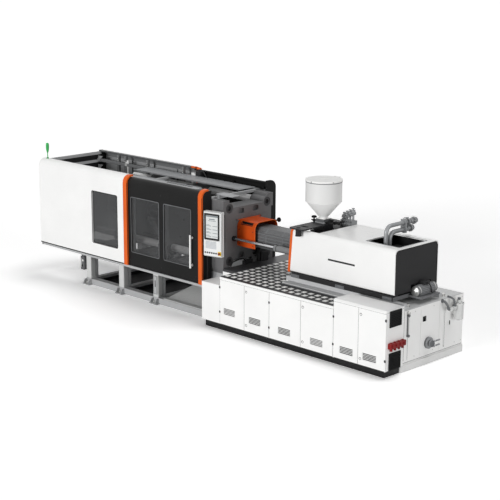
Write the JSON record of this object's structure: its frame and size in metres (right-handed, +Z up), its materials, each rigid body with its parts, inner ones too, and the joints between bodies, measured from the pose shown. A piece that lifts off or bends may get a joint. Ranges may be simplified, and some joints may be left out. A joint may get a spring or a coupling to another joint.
{
  "type": "injection moulding machine",
  "caption": "Horizontal toggle injection moulding machine with sliding safety doors, hopper, injection unit, control panel and cabinets.",
  "frame": {"origin": "on the floor, at the centre of the clamp bed's four outer anchor holes", "axes": "+X from the clamp end to the injection end, -Y is the operator's side, +Z up; y = 0 is the machine's centre plane"},
  "size_m": [8.683, 1.983, 2.56],
  "materials": {
    "frame_grey": "satin",
    "guard_white": "gloss",
    "trim_orange": "gloss",
    "door_black": "satin",
    "pane_tint": "clear tinted",
    "rail_dark": "satin",
    "platen_grey": "satin",
    "bar_steel": "ground",
    "link_grey": "satin",
    "bright_sheet": "brushed",
    "lamp_green": "gloss",
    "tray_dark": "satin",
    "chute_light": "satin",
    "cabinet_white": "satin",
    "plate_tread": "chequered",
    "grille_black": "matte",
    "manifold_red": "gloss",
    "filter_light": "satin",
    "panel_white": "satin",
    "stop_red": "gloss",
    "cover_dark": "satin",
    "barrel_steel": "brushed",
    "mesh_grey": "perforated",
    "slide_black": "satin",
    "hopper_white": "gloss",
    "pipe_grey": "satin"
  },
  "bodies": {
    "machine": {"clamp_bed": "frame_grey", "drip_trays": "tray_dark", "product_chute": "chute_light", "injection_bed": "cabinet_white", "stationary_platen": "platen_grey", "tie_bars": "bar_steel", "front_guard": "guard_white", "guard_window": "pane_tint", "guard_trims": "trim_orange", "guard_end_walls": "door_black", "rear_guard": "guard_white", "guard_frame": "frame_grey", "beacon": "lamp_green", "lubrication_unit": "tray_dark", "cover_plates": "bright_sheet", "cabinet_carcass": "cabinet_white", "tread_platform": "plate_tread", "raised_cabinet": "cabinet_white", "vent_grilles": "grille_black", "service_manifold": "manifold_red", "oil_filter": "filter_light", "tank_fittings": "pipe_grey", "carriage_rods": "bar_steel"},
    "safety_door": {"safety_door": "door_black", "door_windows": "pane_tint", "door_handle": "panel_white"},
    "rear_door": {"rear_door": "door_black"},
    "tail": {"tail_platen": "platen_grey", "clamp_cylinder": "platen_grey"},
    "crosshead": {"crosshead": "link_grey"},
    "rear_link_upper": {"rear_link_upper": "link_grey"},
    "rear_link_lower": {"rear_link_lower": "link_grey"},
    "front_link_upper": {"front_link_upper": "link_grey"},
    "front_link_lower": {"front_link_lower": "link_grey"},
    "crosshead_link_upper": {"crosshead_link_upper": "link_grey"},
    "crosshead_link_lower": {"crosshead_link_lower": "link_grey"},
    "moving_platen": {"moving_platen": "platen_grey"},
    "ejector": {"ejector": "bar_steel"},
    "control_panel": {"control_panel": "panel_white"},
    "emergency_stop": {"emergency_stop": "stop_red"},
    "carriage": {"injection_carriage": "rail_dark", "injection_cover": "guard_white", "cover_end": "cover_dark", "barrel": "barrel_steel", "barrel_cover": "mesh_grey", "hopper_slide": "slide_black", "pipework": "pipe_grey"},
    "screw_drive": {"screw_drive": "rail_dark"},
    "screw": {"screw": "barrel_steel"},
    "hopper": {"hopper": "hopper_white"},
    "hopper_lid": {"hopper_lid": "hopper_white"},
    "nozzle_guard": {"nozzle_guard": "trim_orange"},
    "valve_lever_upper": {"valve_lever_upper": "bar_steel"},
    "valve_lever_lower": {"valve_lever_lower": "bar_steel"},
    "cabinet_door_1": {"cabinet_door_1": "cabinet_white"},
    "cabinet_door_2": {"cabinet_door_2": "cabinet_white"},
    "cabinet_door_3": {"cabinet_door_3": "cabinet_white"},
    "cabinet_door_4": {"cabinet_door_4": "cabinet_white"},
    "cabinet_door_5": {"cabinet_door_5": "cabinet_white"},
    "cabinet_door_6": {"cabinet_door_6": "cabinet_white"}
  },
  "joints": [
    {"name": "mould_height", "type": "slide", "parent": "machine", "child": "tail", "axis": [1, 0, 0], "range_m": [-0.45, 0]},
    {"name": "clamp_stroke", "type": "slide", "parent": "tail", "child": "moving_platen", "axis": [1, 0, 0], "range_m": [0, 0.68]},
    {"name": "crosshead_stroke", "type": "slide", "parent": "tail", "child": "crosshead", "axis": [1, 0, 0], "range_m": [0, 0.4499]},
    {"name": "rear_link_upper_pivot", "type": "hinge", "parent": "tail", "child": "rear_link_upper", "pos_m": [0.47, 0, 1.89], "axis": [0, -1, 0], "range_deg": [0, 126.84]},
    {"name": "front_link_upper_pivot", "type": "hinge", "parent": "moving_platen", "child": "front_link_upper", "pos_m": [0.7, 0, 1.89], "axis": [0, 1, 0], "range_deg": [0, 33.41]},
    {"name": "crosshead_link_upper_pivot", "type": "hinge", "parent": "crosshead", "child": "crosshead_link_upper", "pos_m": [0.10896, 0, 1.59], "axis": [0, -1, 0], "range_deg": [0, 43.01]},
    {"name": "rear_link_lower_pivot", "type": "hinge", "parent": "tail", "child": "rear_link_lower", "pos_m": [0.47, 0, 0.99], "axis": [0, 1, 0], "range_deg": [0, 126.84]},
    {"name": "front_link_lower_pivot", "type": "hinge", "parent": "moving_platen", "child": "front_link_lower", "pos_m": [0.7, 0, 0.99], "axis": [0, -1, 0], "range_deg": [0, 33.41]},
    {"name": "crosshead_link_lower_pivot", "type": "hinge", "parent": "crosshead", "child": "crosshead_link_lower", "pos_m": [0.10896, 0, 1.29], "axis": [0, 1, 0], "range_deg": [0, 43.01]},
    {"name": "ejector_stroke", "type": "slide", "parent": "moving_platen", "child": "ejector", "axis": [1, 0, 0], "range_m": [0, 0.15]},
    {"name": "safety_door_slide", "type": "slide", "parent": "machine", "child": "safety_door", "axis": [-1, 0, 0], "range_m": [0, 1.6]},
    {"name": "rear_door_slide", "type": "slide", "parent": "machine", "child": "rear_door", "axis": [-1, 0, 0], "range_m": [0, 1.6]},
    {"name": "cabinet_door_1_hinge", "type": "hinge", "parent": "machine", "child": "cabinet_door_1", "pos_m": [2.913, -1.048, 0.5], "axis": [0, 0, -1], "range_deg": [0, 100]},
    {"name": "cabinet_door_2_hinge", "type": "hinge", "parent": "machine", "child": "cabinet_door_2", "pos_m": [4.001, -1.048, 0.5], "axis": [0, 0, 1], "range_deg": [0, 90]},
    {"name": "cabinet_door_3_hinge", "type": "hinge", "parent": "machine", "child": "cabinet_door_3", "pos_m": [4.019, -1.048, 0.5], "axis": [0, 0, -1], "range_deg": [0, 90]},
    {"name": "cabinet_door_4_hinge", "type": "hinge", "parent": "machine", "child": "cabinet_door_4", "pos_m": [5.33, -1.048, 0.5], "axis": [0, 0, 1], "range_deg": [0, 90]},
    {"name": "cabinet_door_5_hinge", "type": "hinge", "parent": "machine", "child": "cabinet_door_5", "pos_m": [5.348, -1.048, 0.5], "axis": [0, 0, -1], "range_deg": [0, 90]},
    {"name": "cabinet_door_6_hinge", "type": "hinge", "parent": "machine", "child": "cabinet_door_6", "pos_m": [6.335, -1.048, 0.5], "axis": [0, 0, 1], "range_deg": [0, 100]},
    {"name": "panel_swivel", "type": "hinge", "parent": "machine", "child": "control_panel", "pos_m": [2.285, -0.755, 1.5], "axis": [0, 0, 1], "range_deg": [-55, 20]},
    {"name": "emergency_stop_press", "type": "slide", "parent": "control_panel", "child": "emergency_stop", "axis": [-0.225, 0.9744, 0], "range_m": [0, 0.005]},
    {"name": "nozzle_guard_hinge", "type": "hinge", "parent": "machine", "child": "nozzle_guard", "pos_m": [2.519, 0, 1.674], "axis": [0, -1, 0], "range_deg": [0, 70]},
    {"name": "carriage_slide", "type": "slide", "parent": "machine", "child": "carriage", "axis": [1, 0, 0], "range_m": [0, 0.3]},
    {"name": "plasticising_stroke", "type": "slide", "parent": "carriage", "child": "screw_drive", "axis": [1, 0, 0], "range_m": [0, 0.25]},
    {"name": "screw_turn", "type": "hinge", "parent": "screw_drive", "child": "screw", "pos_m": [4.5, 0, 1.44], "axis": [1, 0, 0], "continuous": true},
    {"name": "hopper_slide_out", "type": "slide", "parent": "carriage", "child": "hopper", "axis": [0, -1, 0], "range_m": [0, 0.5]},
    {"name": "hopper_lid_hinge", "type": "hinge", "parent": "hopper", "child": "hopper_lid", "pos_m": [4.175, 0.316, 2.539], "axis": [-1, 0, 0], "range_deg": [0, 100]},
    {"name": "valve_lever_upper_turn", "type": "hinge", "parent": "machine", "child": "valve_lever_upper", "pos_m": [6.385, 0.045, 0.366], "axis": [1, 0, 0], "range_deg": [0, 90]},
    {"name": "valve_lever_lower_turn", "type": "hinge", "parent": "machine", "child": "valve_lever_lower", "pos_m": [6.385, 0.045, 0.294], "axis": [-1, 0, 0], "range_deg": [0, 90]}
  ],
  "couplings": [
    {"joint": "crosshead_stroke", "follows": "clamp_stroke", "ratio": 0.66093},
    {"joint": "rear_link_upper_pivot", "follows": "clamp_stroke", "rad_per_m": 3.2529},
    {"joint": "front_link_upper_pivot", "follows": "clamp_stroke", "rad_per_m": 0.85486},
    {"joint": "crosshead_link_upper_pivot", "follows": "clamp_stroke", "rad_per_m": 1.1013},
    {"joint": "rear_link_lower_pivot", "follows": "clamp_stroke", "rad_per_m": 3.2529},
    {"joint": "front_link_lower_pivot", "follows": "clamp_stroke", "rad_per_m": 0.85486},
    {"joint": "crosshead_link_lower_pivot", "follows": "clamp_stroke", "rad_per_m": 1.1013}
  ]
}
